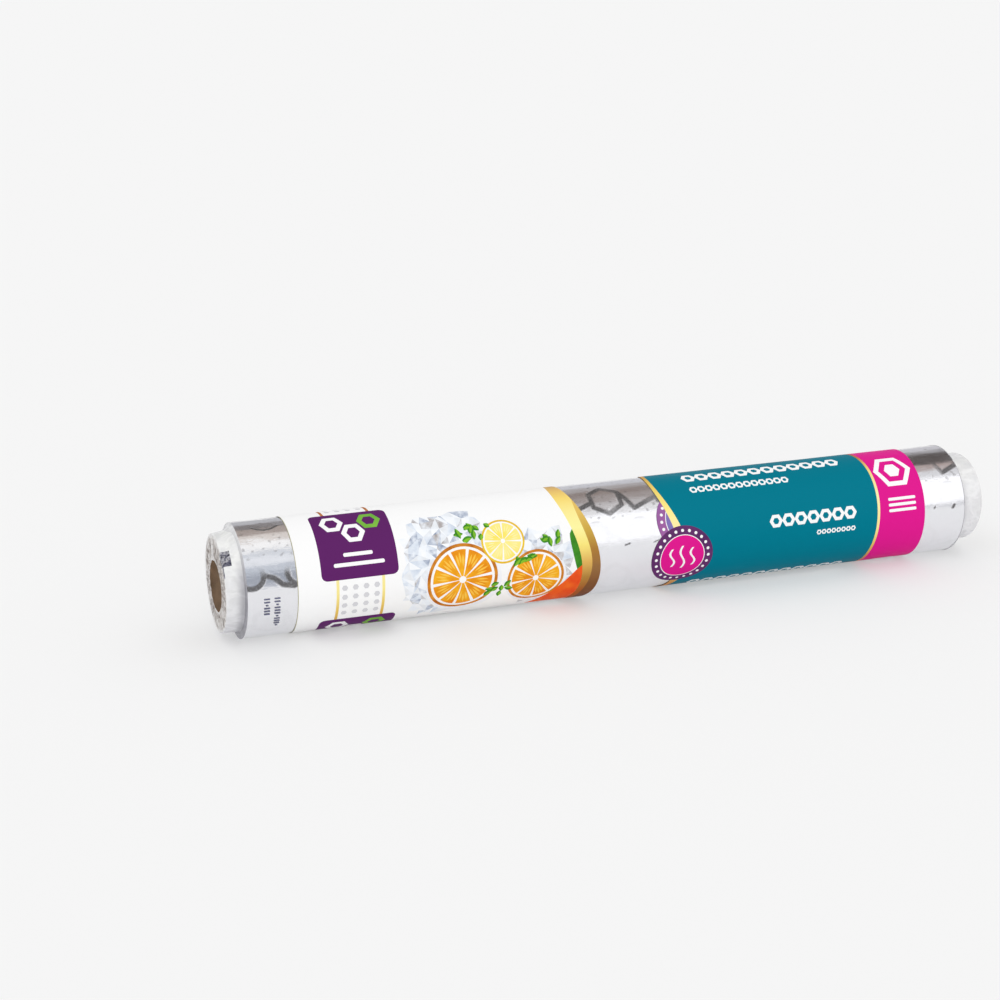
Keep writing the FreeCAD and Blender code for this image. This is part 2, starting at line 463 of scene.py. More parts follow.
def collar_film_material(name, haze, shades):
    """Film shrunk over the core or the foil's edge: milky, with soft wrinkles.

    Its colour runs from the top of the roll to the bottom through shades, painted shade that darkens
    it towards the bottom, given as (share of the way, colour as it looks on a screen) pairs.
    """
    material, tree, shader = new_material(name, Roughness=0.25, Specular_IOR_Level=0.4)
    soft = place_group(tree, creases_group(), Scale=150.0, Stretch=(0.6, 1.0, 1.0), Sharpness=8.0)
    place = place_group(tree, roll_position_group())
    # Painted shade: the colour darkens from the top of the roll towards the bottom
    share = calculate(tree, "DIVIDE", calculate(tree, "ABSOLUTE", place["Around"]), 180.0)
    turned = ramp(tree, share, [(stop, tone(*colour)) for stop, colour in shades])
    colours = {"Colour": turned, "Second_Colour": tone(228, 228, 231) + (1.0,)}
    shade = place_group(tree, mottle_group(), Scale=240.0, Contrast=1.1, **colours)
    # Painted shade: darker next to the foil's edge on the lower front, where fold_shade is painted
    shadow = add_node(tree, "ShaderNodeAttribute", {"attribute_name": "fold_shade"}).outputs["Fac"]
    colour = blend_colours(tree, shadow, shade["Colour"], tone(166, 165, 173) + (1.0,))
    tree.links.new(colour, shader.inputs["Base Color"])
    alpha = calculate(tree, "MULTIPLY_ADD", soft["Lines"], 0.15, haze, clamp=True)
    tree.links.new(alpha, shader.inputs["Alpha"])
    bump(tree, shader, soft["Height"], 0.0005, 0.4)
    return material


def crumpled_shade(tree, scale):
    """Small facets drawn out towards the mouth, each with its own grey value, and the folds between them; the gathered
    film paints glints and shade from them.
    """
    place = place_group(tree, roll_position_group())
    angle = calculate(tree, "RADIANS", place["Around"])
    ring = [calculate(tree, "MULTIPLY", place["Radius"], 0.4 * MM)]
    ring += [calculate(tree, "MULTIPLY", calculate(tree, turn, angle), 14.0 * MM) for turn in ("SINE", "COSINE")]
    spread = add_node(tree, "ShaderNodeCombineXYZ", None, dict(enumerate(ring)))
    inputs = {"Vector": spread.outputs[0], "Scale": scale}
    cells = add_node(tree, "ShaderNodeTexVoronoi", {"feature": "F1"}, inputs).outputs["Color"]
    value = add_node(tree, "ShaderNodeSeparateColor", None, {0: cells}).outputs[0]
    edges = add_node(tree, "ShaderNodeTexVoronoi", {"feature": "DISTANCE_TO_EDGE"}, inputs).outputs["Distance"]
    folds = calculate(tree, "SUBTRACT", 1.0, calculate(tree, "MULTIPLY", edges, 9.0), clamp=True)
    return value, folds


def gathered_film_material(settings):
    """Film crumpled into small folds over the core's open end, with the beige card seen through it: painted glints and
    painted shadows in beige and grey, and a painted highlight at its rim and mouth.
    """
    material, tree, shader = new_material("Gathered Film", Roughness=0.3, Specular_IOR_Level=0.6)
    coarse, folds = crumpled_shade(tree, 620.0)
    fine, small_folds = crumpled_shade(tree, 1300.0)
    # Painted light and shade: the facets' greys stand for glints and shadows, the folds are lightened as painted glints
    # and the lip as a painted highlight
    stops = [(0.1, tone(98, 88, 83)), (0.32, tone(152, 142, 136)), (0.52, tone(202, 195, 191)),
             (0.75, tone(233, 230, 228)), (1.0, tone(253, 252, 252))]
    mixed = calculate(tree, "MULTIPLY_ADD", coarse, 0.55, calculate(tree, "MULTIPLY", fine, 0.4))
    lip = add_node(tree, "ShaderNodeAttribute", {"attribute_name": "lip"}).outputs["Fac"]
    folded = calculate(tree, "MULTIPLY_ADD", folds, 0.25, mixed)
    lit = calculate(tree, "MULTIPLY_ADD", lip, 0.45, folded, clamp=True)
    tree.links.new(ramp(tree, lit, stops), shader.inputs["Base Color"])
    alpha = calculate(tree, "MULTIPLY_ADD", small_folds, 0.2, settings.gather_haze, clamp=True)
    tree.links.new(alpha, shader.inputs["Alpha"])
    bump(tree, shader, calculate(tree, "ADD", coarse, small_folds), 0.0004, 0.7)
    return material


def ink_material(name, colour, second=None, scale=45.0, contrast=0.5, gloss=0.02):
    """Opaque ink on glossy film. A second colour makes it uneven, as a picture's colours are."""
    material, tree, shader = new_material(name, Roughness=0.4, Specular_IOR_Level=gloss)
    other = opaque(second) if second else tuple(0.96 * c for c in colour[:3]) + (1.0,)
    colours = {"Colour": opaque(colour), "Second_Colour": other}
    shade = place_group(tree, mottle_group(), Scale=scale, Contrast=contrast, **colours)
    tree.links.new(shade["Colour"], shader.inputs["Base Color"])
    creases = place_group(tree, creases_group(), Scale=60.0, Stretch=(0.5, 1.6, 1.6), Sharpness=9.0)
    bump(tree, shader, creases["Height"], 0.0002, 0.15)
    return material


def gold_material(name, stops):
    """Gold ink whose tone runs from the top of the roll to the bottom, and back up behind.

    Stops are (degrees around, colour as it looks on a screen) pairs.
    """
    material, tree, shader = new_material(name, Roughness=0.4, Specular_IOR_Level=0.02)
    place = place_group(tree, roll_position_group())
    turned = calculate(tree, "ADD", place["Around"], 20.0)
    share = calculate(tree, "DIVIDE", calculate(tree, "PINGPONG", turned, 180.0), 180.0)
    shades = [((degrees + 20.0) / 180.0, tone(*colour)) for degrees, colour in stops]
    tree.links.new(ramp(tree, share, shades), shader.inputs["Base Color"])
    return material


def mark_material(settings):
    """Dark registration mark, broken up by the film's folds."""
    material, tree, shader = new_material("Register Mark", Roughness=0.3, Specular_IOR_Level=0.3)
    wavy = place_group(tree, creases_group(), Scale=330.0, Stretch=(1.0, 1.0, 1.0), Sharpness=16.0)
    colours = {"Colour": tone(30, 30, 50) + (1.0,), "Second_Colour": tone(112, 112, 128) + (1.0,)}
    shade = place_group(tree, mottle_group(), Scale=900.0, Contrast=4.0, **colours)
    colour = blend_colours(tree, wavy["Lines"], shade["Colour"], tone(190, 189, 194) + (1.0,))
    tree.links.new(colour, shader.inputs["Base Color"])
    bump(tree, shader, wavy["Height"], 0.0006, 0.6)
    return material


def glow_material(name, colour, strength):
    """A panel that shines evenly."""
    material = bpy.data.materials.new(name)
    material.use_nodes = True
    tree = material.node_tree
    tree.nodes.clear()
    glow = add_node(tree, "ShaderNodeEmission", None, {"Color": opaque(colour), "Strength": strength})
    result = add_node(tree, "ShaderNodeOutputMaterial")
    tree.links.new(glow.outputs[0], result.inputs["Surface"])
    return material


# Foil


def chain(points, closed=False):
    """The segments between points one after the other."""
    return list(zip(points, points[1:] + points[:1])) if closed else list(zip(points, points[1:]))


def shape_row_strokes():
    """One pitch of a row of hexagons joined by slanted strokes, in mm from the row's middle."""
    radius = 6.6
    corners = [(radius * math.sin(math.radians(60 * k)), radius * math.cos(math.radians(60 * k)))
               for k in range(6)]
    return chain(corners, closed=True) + chain([(5.9, -3.0), (10.3, 5.4), (20.7, 1.0)]), []


def ring_row_strokes():
    """One pitch of a row of rings in pairs, with a bent stroke from each pair to the next."""
    return chain([(13.3, 0.0), (17.0, 1.4), (20.1, 4.1), (24.1, 4.9)]), [(0.0, 0.0, 4.5), (8.8, 0.0, 4.5)]


def segment_distance(x, y, segments):
    """Distance from each point to the nearest of some straight segments."""
    nearest = np.full(np.broadcast(x, y).shape, 1e3)
    for (x0, y0), (x1, y1) in segments:
        dx, dy = x1 - x0, y1 - y0
        share = np.clip(((x - x0) * dx + (y - y0) * dy) / (dx * dx + dy * dy), 0, 1)
        nearest = np.minimum(nearest, np.hypot(x - x0 - share * dx, y - y0 - share * dy))
    return nearest


def stroke_distance(x, y, strokes):
    """Distance from each point to the nearest stroke of a row that repeats along x."""
    segments, circles = strokes
    x = np.mod(x, EMBOSS_PITCH)
    nearest = np.full(np.broadcast(x, y).shape, 1e3)
    for shift in (-EMBOSS_PITCH, 0.0, EMBOSS_PITCH):
        px = x - shift
        nearest = np.minimum(nearest, segment_distance(px, y, segments))
        for cx, cy, radius in circles:
            nearest = np.minimum(nearest, np.abs(np.hypot(px - cx, y - cy) - radius))
    return nearest


def rise(value, start, stop):
    """A smooth step from 0 to 1 between two values."""
    share = np.clip((value - start) / (stop - start), 0, 1)
    return share * share * (3 - 2 * share)


def pressed_flat(along, around):
    """Where the tight film has smoothed the strokes away again along the front, from 0 to 1."""
    left = 1 - rise(along, 40.0, 60.0)
    front = rise(around, 49.0, 56.0) * (1 - left) + rise(around, 84.0, 90.0) * left
    front = front * (1 - rise(around, 172.0, 182.0))
    band = left * rise(around, 0.0, 4.0) * (1 - rise(around, 60.0, 72.0))
    right = rise(along, 262.0, 268.0) * (1 - rise(along, 278.0, 284.0)) * rise(-np.abs(around - 20.0), -60.0, -50.0)
    return np.maximum(np.maximum(front, band), right)


def emboss(along, around):
    """How strongly the foil is embossed at each place, from 0 to 1."""
    nearest = np.full(np.broadcast(along, around).shape, 1e3)
    for rows, strokes, offset in ((SHAPE_ROWS, shape_row_strokes(), 18.0), (RING_ROWS, ring_row_strokes(), 6.9)):
        for middle in rows:
            turned = np.mod(around - middle + 180.0, 360.0) - 180.0
            down = np.radians(turned) * FOIL_RADIUS
            nearest = np.minimum(nearest, stroke_distance(along + offset, down, strokes))
    uneven = 0.2 * ripples(along, np.radians(around) * FOIL_RADIUS, 14.0, seed=8)
    pressed = np.clip(0.86 + 0.3 * (1 - rise(along, 20.0, 60.0)) + uneven, 0.5, 1.1)
    strength = rise(-nearest, -1.15, -0.75) * pressed * (1 - 0.97 * pressed_flat(along, around))
    down = np.radians(around) * FOIL_RADIUS
    for half_width, corners in LONE_STROKES:
        nearest = segment_distance(along, down, chain([(x, math.radians(y) * FOIL_RADIUS) for x, y in corners]))
        strength = np.maximum(strength, rise(-nearest, -half_width - 0.15, 0.15 - half_width))
    worn = rise(around, 36.0, 44.0) * (1 - rise(around, 50.0, 54.0))
    scuffs = rise(ripples(along / 1.5, down, 2.0, seed=9) + 0.4 * worn, 1.1, 1.8) * (1 - rise(around, 50.0, 54.0))
    return np.clip(np.maximum(strength, 0.4 * scuffs), 0.0, 1.0)


def foil_rows():
    """Places along the foil for the mesh: close together in the clear windows, sparse under print."""
    windows = [
        (0.0, WHITE_LEFT + WINDOW_MARGIN),
        (120.0 - WINDOW_MARGIN, 170.0 + WINDOW_MARGIN),
        (PINK_RIGHT - WINDOW_MARGIN, FOIL_WIDTH),
    ]
    rows = []
    reached = 0.0
    for start, stop in windows:
        if start > reached:
            count = int((start - reached) / COARSE_STEP)
            rows += list(np.linspace(reached, start, count, endpoint=False))
        rows += list(np.linspace(start, stop, int((stop - start) / FINE_STEP), endpoint=False))
        reached = stop
    return np.array(rows + [FOIL_WIDTH])


def turn_radius(around):
    """Radius of the outermost turn: round from its free edge to the far side, then closing in."""
    turned = TAIL_AROUND - around
    inner = FOIL_RADIUS - TAIL_STEP / 2 * (1 + np.cos(np.radians(turned)))
    return np.where(turned < 180.0, FOIL_RADIUS, inner)


def build_outer_turn(settings):
    """The foil's outermost turn, embossed, with its free edge at the back."""
    along = foil_rows()[:, None]
    span = 360.0 + TAIL_OVERLAP
    around = np.linspace(TAIL_AROUND, TAIL_AROUND - span, 364)[None, :]
    strokes = emboss(along, around)
    down = np.radians(around) * FOIL_RADIUS
    fine = 0.010 + 0.014 * (1 - rise(along, 14.0, 40.0))
    loose = 0.055 + 0.013 * ripples(along, down, 22.0, seed=4) + fine * ripples(along / 2.5, down, 5.0, seed=5)
    radius = turn_radius(around) + SHEET_LIFT + settings.emboss_height * strokes + np.maximum(loose, 0.0)
    points = on_roll(along, around, radius, lowest=FOIL_LOWEST - 0.1)
    faces = grid_faces(*points.shape[:2], closed=False)
    piece = make_object("foil_outer_turn", points.reshape(-1, 3), faces, [foil_material(settings)])
    paint(piece, "stroke", strokes)


# Print


def wave(around, middle, swing, peak, period):
    """A border that swings along the roll as it goes round."""
    return middle + swing * np.cos(np.radians((around - peak) * 360.0 / period))


def stripe_inner(around):
    return wave(around, 124.0, 3.4, 108.0, 200.0)


def stripe_outer(around):
    return wave(around, 130.0, 4.75, 108.0, 250.0)


def stripe_division(around):
    return np.minimum(wave(around, 129.2, 2.0, 98.0, 130.0), stripe_outer(around))


def teal_left(around):
    return wave(around, 163.6, 3.5, 110.0, 200.0)


def teal_rim(around):
    return teal_left(around) + wave(around, 2.5, 1.1, 100.0, 200.0)


def pink_left(around):
    return wave(around, 250.7, 1.3, 48.0, 250.0)


def between(left, right, start=FILM_START, stop=FILM_STOP):
    """The outline of a field between two borders, which are numbers or functions of around."""
    steps = max(2, int(arc(stop - start) / BORDER_STEP))
    rounds = np.linspace(start, stop, steps)
    sides = []
    for border in (left, right):
        places = border(rounds) if callable(border) else np.full(rounds.shape, float(border))
        sides.append(list(zip(places, rounds)))
    return sides[0] + sides[1][::-1]


def inside(outline, x, y):
    """Which of the points lie inside the outline."""
    crossings = np.zeros(x.shape, dtype=int)
    for (x0, y0), (x1, y1) in zip(outline, outline[1:] + outline[:1]):
        if y0 == y1:
            continue
        level = (y0 <= y) != (y1 <= y)
        crossings += level & (x < x0 + (y - y0) * (x1 - x0) / (y1 - y0))
    return crossings % 2 == 1


def in_degrees(points, centre):
    """Millimetre offsets (along, down) from a centre, as (along, around) places."""
    scale = 180.0 / (math.pi * FILM_RADIUS)
    return [(centre[0] + x, centre[1] + y * scale) for x, y in points]


def disc(centre, radius, corners=48, start=0.0):
    """A round or regular many-sided field."""
    angles = [math.radians(start + 360.0 * k / corners) for k in range(corners)]
    return in_degrees([(radius * math.cos(a), radius * math.sin(a)) for a in angles], centre)


def hexagon(centre, radius):
    return disc(centre, radius, corners=6)


def rounded_box(centre, width, height, corner, turn=0.0):
    """A box with round corners, turned by some degrees."""
    points = []
    for k, (sx, sy) in enumerate(((1, 1), (-1, 1), (-1, -1), (1, -1))):
        cx, cy = sx * (width / 2 - corner), sy * (height / 2 - corner)
        for step in range(5):
            a = math.radians(90 * k + 22.5 * step)
            points.append((cx + corner * math.cos(a), cy + corner * math.sin(a)))
    c, s = math.cos(math.radians(turn)), math.sin(math.radians(turn))
    return in_degrees([(x * c - y * s, x * s + y * c) for x, y in points], centre)


def leaf(centre, length, width, turn):
    """A pointed leaf."""
    shares = np.linspace(0.0, 1.0, 9)
    upper = [(length * (t - 0.5), width / 2 * math.sin(math.pi * t)) for t in shares]
    points = upper + [(x, -y) for x, y in upper[-2:0:-1]]
    c, s = math.cos(math.radians(turn)), math.sin(math.radians(turn))
    return in_degrees([(x * c - y * s, x * s + y * c) for x, y in points], centre)


def sector(centre, radius, start, stop, inner=0.0):
    """A slice of a disc between two directions, less its core."""
    outer = [math.radians(a) for a in np.linspace(start, stop, 10)]
    points = [(radius * math.cos(a), radius * math.sin(a)) for a in outer]
    points += [(inner * math.cos(a), inner * math.sin(a)) for a in outer[::-1]] if inner else [(0.0, 0.0)]
    return in_degrees(points, centre)


def wavy_bar(centre, length, swing, width):
    """An upright wavy stroke."""
    shares = np.linspace(-0.5, 0.5, 13)
    middle = [(swing * math.sin(2 * math.pi * t), length * t) for t in shares]
    points = [(x + width / 2, y) for x, y in middle] + [(x - width / 2, y) for x, y in middle[::-1]]
    return in_degrees(points, centre)


def fruit_slice(centre, radius, rind, pulp, turn, segments=9):
    """A round slice: rind, white pith and wedges of pulp with paler threads in them."""
    fields = [(rind, disc(centre, radius)), ("White Ink", disc(centre, radius * 0.91))]
    pitch = 360.0 / segments
    for k in range(segments):
        start = turn + k * pitch
        fields.append((pulp, sector(centre, radius * 0.84, start + 3.0, start + pitch - 3.0, radius * 0.10)))
        for share, reach in ((0.3, 0.56), (0.52, 0.62), (0.74, 0.54)):
            angle = math.radians(start + share * pitch)
            place = in_degrees([(reach * radius * math.cos(angle), reach * radius * math.sin(angle))], centre)[0]
            fields.append((pulp + " Thread", leaf(place, radius * 0.34, radius * 0.055, math.degrees(angle))))
    return fields


def dense(outline):
    """The outline with points added, so that it follows the roll's curve closely."""
    points = []
    for (x0, y0), (x1, y1) in zip(outline, outline[1:] + outline[:1]):
        steps = max(1, math.ceil(abs(arc(y1 - y0)) / BORDER_STEP))
        points += [(x0 + (x1 - x0) * k / steps, y0 + (y1 - y0) * k / steps) for k in range(steps)]
    return points


def facets(left, right, top, bottom, seed, cell=3.0):
    """Crumpled silver: a jittered net of triangles in pale blues and greys."""
    random = np.random.RandomState(seed)
    columns = max(2, int((right - left) / cell))
    rows = max(2, int(arc(bottom - top) / cell))
    jitter = 0.38 * cell
    net = {}
    for i in range(columns + 1):
        for j in range(rows + 1):
            along = left + (right - left) * i / columns + random.uniform(-jitter, jitter)
            around = top + (bottom - top) * j / rows + random.uniform(-jitter, jitter) * 180 / math.pi / FILM_RADIUS
            net[i, j] = (along, around)
    fields = []
    for i in range(columns):
        for j in range(rows):
            a, b, c, d = net[i, j], net[i + 1, j], net[i + 1, j + 1], net[i, j + 1]
            middle = ((i + 0.5) / columns - 0.5, (j + 0.5) / rows - 0.5)
            if middle[0] ** 2 + middle[1] ** 2 > 0.29:
                continue
            halves = ([a, b, c], [a, c, d]) if random.rand() < 0.5 else ([a, b, d], [b, c, d])
            for half in halves:
                fields.append(("Silver Ink %d" % random.choice([1, 1, 1, 2, 2, 3, 3, 4, 4, 5]), half))
    return fields


def sprig(centre, spread, count, seed):
    """A scatter of herb leaves, each in a light and a dark half."""
    random = np.random.RandomState(seed)
    fields = []
    for _ in range(count):
        offset = random.uniform(-spread, spread, 2)
        place = in_degrees([(offset[0], offset[1] * 0.6)], centre)[0]
        length, turn = random.uniform(2.6, 4.6), random.uniform(0, 180)
        fields.append(("Leaf Ink", leaf(place, length, 2.0, turn)))
        shifted = in_degrees([(0.35 * math.sin(math.radians(turn)), -0.35 * math.cos(math.radians(turn)))], place)
        fields.append(("Herb Ink", leaf(shifted[0], length * 0.9, 1.0, turn)))
    return fields


def crescent(start, stop, width):
    """A slim field along the stripe's left border, pointed at both ends."""
    def border(around):
        share = (around - start) / (stop - start)
        return stripe_inner(around) - width * np.sqrt(np.abs(4 * share * (1 - share)))
    return between(border, stripe_inner, start, stop)


def wedge(start, stop, width):
    """A field that hugs the stripe's left border and widens from a point."""
    return between(lambda a: stripe_inner(a) - width * ((a - start) / (stop - start)) ** 0.8, stripe_inner, start, stop)


def picture_fields(top):
    """The picture: slices of fruit and herb leaves on crumpled silver, from a place around."""
    fields = facets(58.0, 92.0, top + 4, top + 118, seed=11)
    fields += facets(101.0, 123.0, top + 34, top + 124, seed=12)
    fields += [("Mist Ink", disc((80.8, top + 79.0), 14.6, 48)), ("Mist Ink", disc((109.2, top + 87.0), 11.9, 48))]
    fields += fruit_slice((80.2, top + 76.0), 13.6, "Rind Ink", "Amber Ink", 30.0, segments=10)
    fields += fruit_slice((108.8, top + 84.0), 11.2, "Rind Ink", "Amber Ink", 12.0)
    fields += fruit_slice((96.6, top + 42.0), 8.4, "Lemon Rind Ink", "Lemon Ink", 5.0, segments=8)
    fields += sprig((86.0, top + 30.0), 6.0, 12, seed=5)
    fields += sprig((104.5, top + 62.0), 3.6, 7, seed=6)
    fields += sprig((115.5, top + 46.0), 3.0, 6, seed=9)
    fields += sprig((94.0, top + 92.0), 4.6, 9, seed=7)
    return fields


def block_fields(top):
    """A purple block with a plain honeycomb, and the two gold rules below it."""
    left, right, extent = BLOCK
    middle = ((left + right) / 2, top + extent / 2)
    fields = []
    for rule in RULES:
        fields.append(("Rule Ink", between(rule - RULE_WIDTH / 2, rule + RULE_WIDTH / 2,
                                           top + extent - 4.0, top + extent + 51.0)))
    for i in range(4):
        for j in range(4):
            place = (35.6 + 4.0 * i, top + extent + 8.5 + 9.6 * j)
            fields.append(("Pale Grey Ink", hexagon(place, 1.15)))
    fields.append(("Purple Ink", rounded_box(middle, right - left, arc(extent), 2.2)))
    for shift, drop, ink in ((-7.0, -22.0, "White Ink"), (0.0, -8.0, "White Ink"), (7.0, -22.0, "Lime Ink")):
        place = (middle[0] + shift, middle[1] + drop)
        fields += [(ink, hexagon(place, 4.5)), ("Purple Ink", hexagon(place, 2.5))]
    for down, length in ((15.0, 11.0), (24.5, 19.0)):
        fields.append(("White Ink", rounded_box((middle[0], middle[1] + down), length, 1.4, 0.6)))
    return fields


def ring_row(ground, start, stop, around, radius, hole):
    """A row of white hexagon rings that share their corners."""
    count = int((stop - start) / (2 * radius)) + 1
    fields = []
    for k in range(count):
        place = (start + radius + (stop - start - 2 * radius) * k / (count - 1), around)
        fields += [("White Ink", hexagon(place, radius)), (ground, hexagon(place, hole))]
    return fields


def text_fields(top):
    """White honeycomb bands on the teal field, and a large cell above bars on the pink one."""
    fields = ring_row("Teal Ink", 174.5, 242.0, top + 9.5, 2.95, 1.35)
    fields += ring_row("Teal Ink", 175.0, 217.0, top + 29.5, 1.7, 0.85)
    fields += ring_row("Teal Ink", 204.5, 242.0, top + 74.5, 2.8, 1.35)
    fields += ring_row("Teal Ink", 224.5, 241.5, top + 91.5, 1.1, 0.5)
    for ink, radius in (("White Ink", 8.2), ("Pink Ink", 6.0), ("White Ink", 3.4)):
        fields.append((ink, hexagon((261.6, top + 33.0), radius)))
    for down in (66.0, 72.0, 78.0):
        fields.append(("White Ink", rounded_box((262.2, top + down), 12.0, 1.15, 0.5)))
    return fields


def badge_fields(centre, ring, face, line):
    """The round badge: a ring with dots, and three waves of heat on its face."""
    fields = [(ring, disc(centre, BADGE_RADIUS, 72)), (line, disc(centre, BADGE_DISC_RADIUS + 0.3, 60))]
    fields.append((face, disc(centre, BADGE_DISC_RADIUS, 60)))
    for k in range(24):
        angle = math.radians(15.0 * k)
        reach = (BADGE_RADIUS + BADGE_DISC_RADIUS) / 2
        place = in_degrees([(reach * math.cos(angle), reach * math.sin(angle))], centre)[0]
        fields.append((line, disc(place, 0.62, 10)))
    for shift in (-4.2, 0.0, 4.2):
        place = in_degrees([(shift, 0.0)], centre)[0]
        fields.append((line, wavy_bar(place, 9.6 if shift == 0 else 7.6, 1.0, 0.85)))
    return fields


def stamp_fields(start):
    """Two short rows of plain stamped bars that run round the foil's left end."""
    fields = []
    for along, bars in ((7.0, 6), (10.8, 11)):
        for bar in range(bars):
            width = 1.0 if bar % 4 == 2 else 2.2
            place = (along, start + 3.3 * bar)
            fields.append(("Stamp Ink", rounded_box(place, width, 0.5, 0.2)))
    return fields


def print_fields():
    """All printed fields as (ink, outline) pairs, the later ones lying over the earlier ones."""
    fields = [("White Ink", between(WHITE_LEFT, stripe_inner)),
              ("Hairline Ink", between(WHITE_LEFT - 0.1, WHITE_LEFT + 0.1))]
    for top in PICTURE_TOPS:
        fields += picture_fields(top)
        fields.append(("Leaf Ink", crescent(top + 38, top + 88, 2.8)))
        fields.append(("Tomato Ink", wedge(top + 76, top + 130, 17.0)))
    for top in BLOCK_TOPS:
        fields += block_fields(top)
    fields += stamp_fields(92.0)
    for _, around in BADGE_CENTRES:
        ghost = (GHOST_CENTRE[0], around - BADGE_CENTRES[0][1] + GHOST_CENTRE[1])
        fields += badge_fields(ghost, "Faded Ink", "Faded Blue Ink", "White Ink")
    fields += [("Teal Ink", between(teal_rim, pink_left)), ("Pink Ink", between(pink_left, PINK_RIGHT))]
    for top in TEXT_TOPS:
        fields += text_fields(top)
    fields += [
        ("Gold Ink", between(stripe_inner, stripe_division)),
        ("Dark Gold Ink", between(stripe_division, stripe_outer)),
        ("Edge Gold Ink", between(teal_left, teal_rim)),
        ("Rule Ink", between(lambda a: pink_left(a) - 0.55, lambda a: pink_left(a) + 0.55)),
    ]
    for centre in BADGE_CENTRES:
        fields += badge_fields(centre, "Deep Purple Ink", "Pink Ink", "White Ink")
    return [(ink, dense(outline)) for ink, outline in fields]


def ink_materials(settings):
    """Every ink of the print, by name."""
    plain = {
        "White Ink": settings.paper_white,
        "Teal Ink": settings.teal,
        "Pink Ink": settings.pink,
        "Purple Ink": settings.purple,
        "Hairline Ink": tone(196, 192, 160),
        "Stamp Ink": tone(112, 114, 138),
        "Pale Grey Ink": tone(214, 214, 218),
        "Mist Ink": tone(243, 245, 250),
    }
    inks = {name: ink_material(name, colour) for name, colour in plain.items()}
    pictured = {
        "Deep Purple Ink": (tone(112, 58, 112), tone(84, 44, 96), 120.0, 1.6),
        "Faded Ink": (tone(172, 96, 162), tone(140, 100, 158), 120.0, 1.6),
        "Faded Blue Ink": (tone(104, 110, 168), tone(150, 120, 190), 120.0, 1.6),
        "Lime Ink": (tone(142, 200, 72), tone(92, 160, 60), 160.0, 1.4),
        "Rind Ink": (tone(222, 148, 52), tone(176, 96, 30), 260.0, 2.6),
        "Amber Ink": (tone(245, 178, 40), tone(226, 128, 24), 160.0, 2.6),
        "Amber Ink Thread": (tone(252, 208, 92), tone(246, 184, 60), 160.0, 1.0),
        "Lemon Rind Ink": (tone(238, 205, 60), tone(226, 176, 40), 220.0, 2.0),
        "Lemon Ink": (tone(250, 228, 90), tone(252, 240, 160), 160.0, 2.2),
        "Lemon Ink Thread": (tone(253, 246, 190), tone(250, 236, 150), 160.0, 1.0),
        "Tomato Ink": (tone(244, 112, 40), tone(232, 76, 34), 200.0, 2.6),
        "Leaf Ink": (tone(74, 152, 44), tone(54, 122, 38), 240.0, 2.2),
        "Herb Ink": (tone(140, 196, 48), tone(112, 176, 50), 240.0, 2.0),
    }
    silvers = [(250, 251, 252), (206, 216, 230), (228, 231, 235), (146, 158, 182), (168, 160, 158)]
    for number, silver in enumerate(silvers, start=1):
        pictured["Silver Ink %d" % number] = (tone(*silver), tone(238, 243, 250), 420.0, 2.6)
    for name, (colour, second, scale, contrast) in pictured.items():
        inks[name] = ink_material(name, colour, second, scale, contrast)
    golds = {
        "Gold Ink": [(-15, (198, 162, 110)), (3, (230, 189, 109)), (21, (247, 218, 118)), (39, (249, 234, 151)),
                     (57, (250, 243, 162)), (75, (247, 228, 126)), (93, (223, 178, 95)), (111, (177, 132, 64)),
                     (130, (170, 97, 46))],
        "Dark Gold Ink": [(40, (226, 190, 100)), (60, (204, 168, 74)), (80, (172, 124, 58)), (100, (151, 109, 67)),
                          (120, (131, 88, 54)), (150, (120, 74, 50))],
        "Edge Gold Ink": [(-15, (201, 147, 85)), (8, (224, 188, 92)), (30, (241, 216, 115)), (50, (251, 234, 142)),
                          (65, (253, 236, 167)), (120, (236, 200, 110)), (145, (214, 150, 90))],
        "Rule Ink": [(-15, (176, 104, 50)), (5, (190, 120, 62)), (30, (240, 214, 130)), (60, (247, 239, 176)),
                     (95, (248, 232, 150)), (115, (232, 196, 98)), (130, (212, 166, 84))],
    }
    for name, stops in golds.items():
        inks[name] = gold_material(name, stops)
    return inks


def film_radius(along, around):
    """Radius of the film's barrel: tight, with faint tension ripples, and a step at the lap."""
    lap = np.clip((around - (FILM_START + 360.0) + 2.0) / 2.0, 0.0, 1.0)
    tension = 0.02 * ripples(along / 4.0, np.radians(around) * FILM_RADIUS, 9.0, seed=21)
    return FILM_RADIUS + LAP_STEP * lap + 0.02 + tension * (1 - 0.5 * lap)


def barrel_net():
    """Loose points of the barrel's mesh, as (along, around) places."""
    alongs = np.linspace(0.0, FOIL_WIDTH, int(FOIL_WIDTH / FILM_CELL) + 1)
    step = math.degrees(FILM_CELL / FILM_RADIUS)
    arounds = np.linspace(FILM_START, FILM_STOP, int((FILM_STOP - FILM_START) / step) + 1)
    return [(a, r) for i, a in enumerate(alongs) for j, r in enumerate(arounds)
            if 0 < i < len(alongs) - 1 and 0 < j < len(arounds) - 1]


